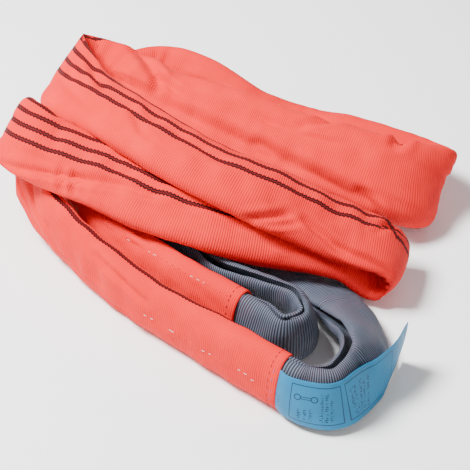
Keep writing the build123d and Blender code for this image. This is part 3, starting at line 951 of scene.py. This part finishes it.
def label_material(props):
    """Blue coated cloth printed with two frames, a strap between two eyes and rows of dashes."""
    paint = Paint("label_cloth_blue", 0.5, 0.0, (0.8, 0.9, 1.0), 0.3)
    along, around = paint.cloth()
    ink = box_line(paint, along, around, (0.022, -0.023), (0.074, 0.020), 0.0009)
    for part in (
            ring_line(paint, along, around, (0.029, 0.006), 0.0032, 0.0011),
            ring_line(paint, along, around, (0.046, 0.006), 0.0032, 0.0011),
            box_line(paint, along, around, (0.0322, 0.0048), (0.0428, 0.0072), 0.0009),
            box_line(paint, along, around, (0.080, -0.023), (0.150, 0.020), 0.0009)):
        ink = paint.math("MAXIMUM", ink, part)
    broken = paint.math("GREATER_THAN", paint.noise(420, 1), 0.5)
    dashes = paint.math("GREATER_THAN", paint.wave(around, 0.0022), 0.35)
    for start, low, high in DASHED_ROWS:
        row = filled_box(paint, along, around, (start, low), (start + ROW_HEIGHT, high))
        row = paint.math("MULTIPLY", paint.math("MULTIPLY", row, dashes), broken)
        ink = paint.math("MAXIMUM", ink, row)
    threads = paint.math("ADD", paint.wave(along, 0.0009), paint.wave(around, 0.0009))
    blue = paint.mix(paint.step(paint.noise(30, 3), 0.3, 0.7), tuple(props.colour),
                     tuple(c * 0.86 for c in props.colour))
    colour = paint.mix(paint.math("MULTIPLY", ink, 0.92), blue, tuple(props.ink_colour))
    return paint.finish(colour, threads, 0.0001)


def floor_material(props):
    """Pale matt floor."""
    paint = Paint("floor_pale", 0.9, 0.0, (1, 1, 1), 0.1)
    return paint.finish((*props.floor_colour, 1), paint.noise(3, 2), 0.0001, 0.1)


# ---- the add-on's properties, operators and panel ----

def colour_property(name, description, default):
    return bpy.props.FloatVectorProperty(name=name, description=description, default=default,
                                         subtype="COLOR", size=3, min=0, max=1)


class CoverProperties(bpy.types.PropertyGroup):
    """Sizes and colours of the red cover."""
    creasing: bpy.props.FloatProperty(
        name="Creasing", description="How strongly the cloth swells and puckers", default=1.0,
        min=0, max=2, subtype="FACTOR")
    rib_pitch: bpy.props.FloatProperty(
        name="Rib Pitch", description="From one rib of the weave to the next", default=0.0024,
        unit="LENGTH")
    stripe_pitch: bpy.props.FloatProperty(
        name="Stripe Pitch", description="From one dark stripe to the next", default=0.015,
        unit="LENGTH")
    stripe_width: bpy.props.FloatProperty(
        name="Stripe Width", description="Width of a dark stripe", default=0.0050, unit="LENGTH")
    colour: colour_property("Colour", "Colour of the red cloth", (0.82, 0.008, 0.010))
    faded_colour: colour_property("Faded Colour", "Where the red cloth is paler",
                                  (0.88, 0.024, 0.020))
    stripe_colour: colour_property("Stripe Colour", "Colour of the stripes", (0.012, 0.002, 0.003))
    thread_colour: colour_property("Hem Thread", "Colour of the hems' thread", (0.60, 0.02, 0.02))
    seam_colour: colour_property("Seam Thread", "Colour of the centre seams' thread",
                                 (0.92, 0.80, 0.74))


class SleeveProperties(bpy.types.PropertyGroup):
    """Sizes and colours of the grey sleeve."""
    creasing: bpy.props.FloatProperty(
        name="Creasing", description="How strongly the cloth swells and puckers", default=1.0,
        min=0, max=2, subtype="FACTOR")
    rib_pitch: bpy.props.FloatProperty(
        name="Rib Pitch", description="From one rib of the weave to the next", default=0.0026,
        unit="LENGTH")
    colour: colour_property("Colour", "Colour of the ribs", (0.125, 0.160, 0.225))
    # Painted shade: the dark colour between the ribs, which most of the sleeve shows; the warm
    # trace tints that painted shade in places.
    shade_colour: colour_property("Groove Colour", "Colour between the ribs",
                                  (0.014, 0.012, 0.018))
    warm_colour: colour_property("Warm Trace", "Where the cloth has a trace of red",
                                 (0.040, 0.012, 0.019))


class LabelProperties(bpy.types.PropertyGroup):
    """Colours of the label."""
    colour: colour_property("Colour", "Colour of the label", (0.0, 0.175, 0.36))
    ink_colour: colour_property("Ink", "Colour of the print", (0.0, 0.008, 0.03))
    thread_colour: colour_property("Thread", "Colour of the label's thread", (0.02, 0.20, 0.42))


class StageProperties(bpy.types.PropertyGroup):
    """The camera, the lights and the floor."""
    lens: bpy.props.FloatProperty(
        name="Lens", description="Focal length of the camera", default=107.0,
        subtype="DISTANCE_CAMERA")
    key_power: bpy.props.FloatProperty(
        name="Key Light", description="Power of the main light", default=140.0, subtype="POWER",
        unit="POWER")
    fill_power: bpy.props.FloatProperty(
        name="Fill Light", description="Power of the second light", default=10.0, subtype="POWER",
        unit="POWER")
    floor_colour: colour_property("Floor", "Colour of the floor", (0.99, 0.99, 0.99))


COVER_MADE = {}


class SLING_OT_stage(bpy.types.Operator):
    """Adds the floor, the soft lights and the camera"""
    bl_idname = "sling.stage"
    bl_label = "Add Stage"

    def execute(self, context):
        build_stage(context.scene.sling_stage)
        return {"FINISHED"}


class SLING_OT_cover(bpy.types.Operator):
    """Adds the red cover"""
    bl_idname = "sling.cover"
    bl_label = "Add Cover"

    def execute(self, context):
        build_cover(context.scene.sling_cover)
        return {"FINISHED"}


class SLING_OT_sleeve(bpy.types.Operator):
    """Adds the endless grey sleeve with its two eyes"""
    bl_idname = "sling.sleeve"
    bl_label = "Add Sleeve"

    def execute(self, context):
        build_sleeve(context.scene.sling_sleeve)
        return {"FINISHED"}


class SLING_OT_core(bpy.types.Operator):
    """Adds the yarn hank, its tape and the sleeve's joint inside the cover"""
    bl_idname = "sling.core"
    bl_label = "Add Core"

    def execute(self, context):
        build_core(context.scene.sling_sleeve)
        return {"FINISHED"}


class SLING_OT_stitching(bpy.types.Operator):
    """Adds the stitches of the hems and of the centre seams"""
    bl_idname = "sling.stitching"
    bl_label = "Add Stitching"

    def execute(self, context):
        props = context.scene.sling_cover
        made = finished_cover(props)
        build_hem_stitches(props, made)
        build_centre_seams(props, made)
        return {"FINISHED"}


class SLING_OT_label(bpy.types.Operator):
    """Adds the label and the stitches that hold it"""
    bl_idname = "sling.label"
    bl_label = "Add Label"

    def execute(self, context):
        build_label(context.scene.sling_label)
        build_label_stitches(context.scene.sling_label, finished_cover(context.scene.sling_cover))
        return {"FINISHED"}


class SLING_PT_panel(bpy.types.Panel):
    """The sidebar panel of the sling"""
    bl_idname = "SLING_PT_panel"
    bl_label = "Round Sling"
    bl_space_type = "VIEW_3D"
    bl_region_type = "UI"
    bl_category = "Round Sling"

    def draw(self, context):
        for group in ("sling_stage", "sling_cover", "sling_sleeve", "sling_label"):
            box = self.layout.box()
            props = getattr(context.scene, group)
            for name in props.__annotations__:
                box.prop(props, name)
        for operator in OPERATORS:
            self.layout.operator(operator.bl_idname)


PROPERTIES = {"sling_stage": StageProperties, "sling_cover": CoverProperties,
              "sling_sleeve": SleeveProperties, "sling_label": LabelProperties}
OPERATORS = (SLING_OT_stage, SLING_OT_cover, SLING_OT_sleeve, SLING_OT_core, SLING_OT_stitching,
             SLING_OT_label)


def register():
    """Registers the classes and hangs the properties on the scene."""
    for group in (*PROPERTIES.values(), *OPERATORS, SLING_PT_panel):
        bpy.utils.register_class(group)
    for name, group in PROPERTIES.items():
        setattr(bpy.types.Scene, name, bpy.props.PointerProperty(type=group))


def unregister():
    """Takes the properties and classes away again."""
    for name in PROPERTIES:
        delattr(bpy.types.Scene, name)
    for group in reversed((*PROPERTIES.values(), *OPERATORS, SLING_PT_panel)):
        bpy.utils.unregister_class(group)


def finished_cover(props):
    """The cover's outer face, worked out once for the pieces that lie on it."""
    if "face" not in COVER_MADE:
        route, outer, cloth, angles = cover_surface(props.creasing)
        COVER_MADE["face"] = (route, on_floor(outer), cloth, angles)
    return COVER_MADE["face"]


FLOOR_REACH = 6.0
CAMERA_PLACE = np.array([0.7141, -0.9574, 1.0630])
TARGET = np.array([0.0433, -0.0672, 0.0593])
ROOM_LIGHT = 0.26


def build_stage(props):
    """The floor, three soft lights, the room's light and the camera."""
    scene = bpy.context.scene
    mesh = bpy.data.meshes.new("floor")
    mesh.from_pydata([(x * FLOOR_REACH, y * FLOOR_REACH, 0)
                      for x, y in ((-1, -1), (1, -1), (1, 1), (-1, 1))], [], [(0, 1, 2, 3)])
    floor = bpy.data.objects.new("floor", mesh)
    mesh.materials.append(floor_material(props))
    scene.collection.objects.link(floor)
    camera_data = bpy.data.cameras.new("camera")
    camera_data.lens = props.lens
    camera_data.sensor_width = 36
    camera = bpy.data.objects.new("camera", camera_data)
    scene.collection.objects.link(camera)
    aim(camera, CAMERA_PLACE, TARGET)
    scene.camera = camera
    for name, power, size, spot in (("key", props.key_power, 0.7, (-0.80, -0.65, 1.80)),
                                    ("fill", props.fill_power, 1.2, (1.3, -0.9, 1.1)),
                                    ("back", props.fill_power, 1.2, (-0.3, 1.8, 1.5))):
        lamp_data = bpy.data.lights.new(name, "AREA")
        lamp_data.energy = power
        lamp_data.size = size
        lamp = bpy.data.objects.new(name, lamp_data)
        scene.collection.objects.link(lamp)
        aim(lamp, np.array(spot), TARGET)
    world = bpy.data.worlds.new("room")
    world.use_nodes = True
    sky = world.node_tree.nodes["Background"]
    sky.inputs["Color"].default_value = (1, 1, 1, 1)
    sky.inputs["Strength"].default_value = ROOM_LIGHT
    scene.world = world


def aim(thing, place, target):
    """Puts a camera or lamp at a place with its -Z towards the target and its Y upwards."""
    thing.location = place
    heading = Vector(target - place)
    thing.rotation_euler = heading.to_track_quat("-Z", "Y").to_euler()


def main():
    """Builds the whole scene."""
    register()
    for operator in OPERATORS:
        group, name = operator.bl_idname.split(".")
        result = getattr(getattr(bpy.ops, group), name)()
        if result != {"FINISHED"}:
            raise RuntimeError(operator.bl_label)


if __name__ == "__main__":
    main()
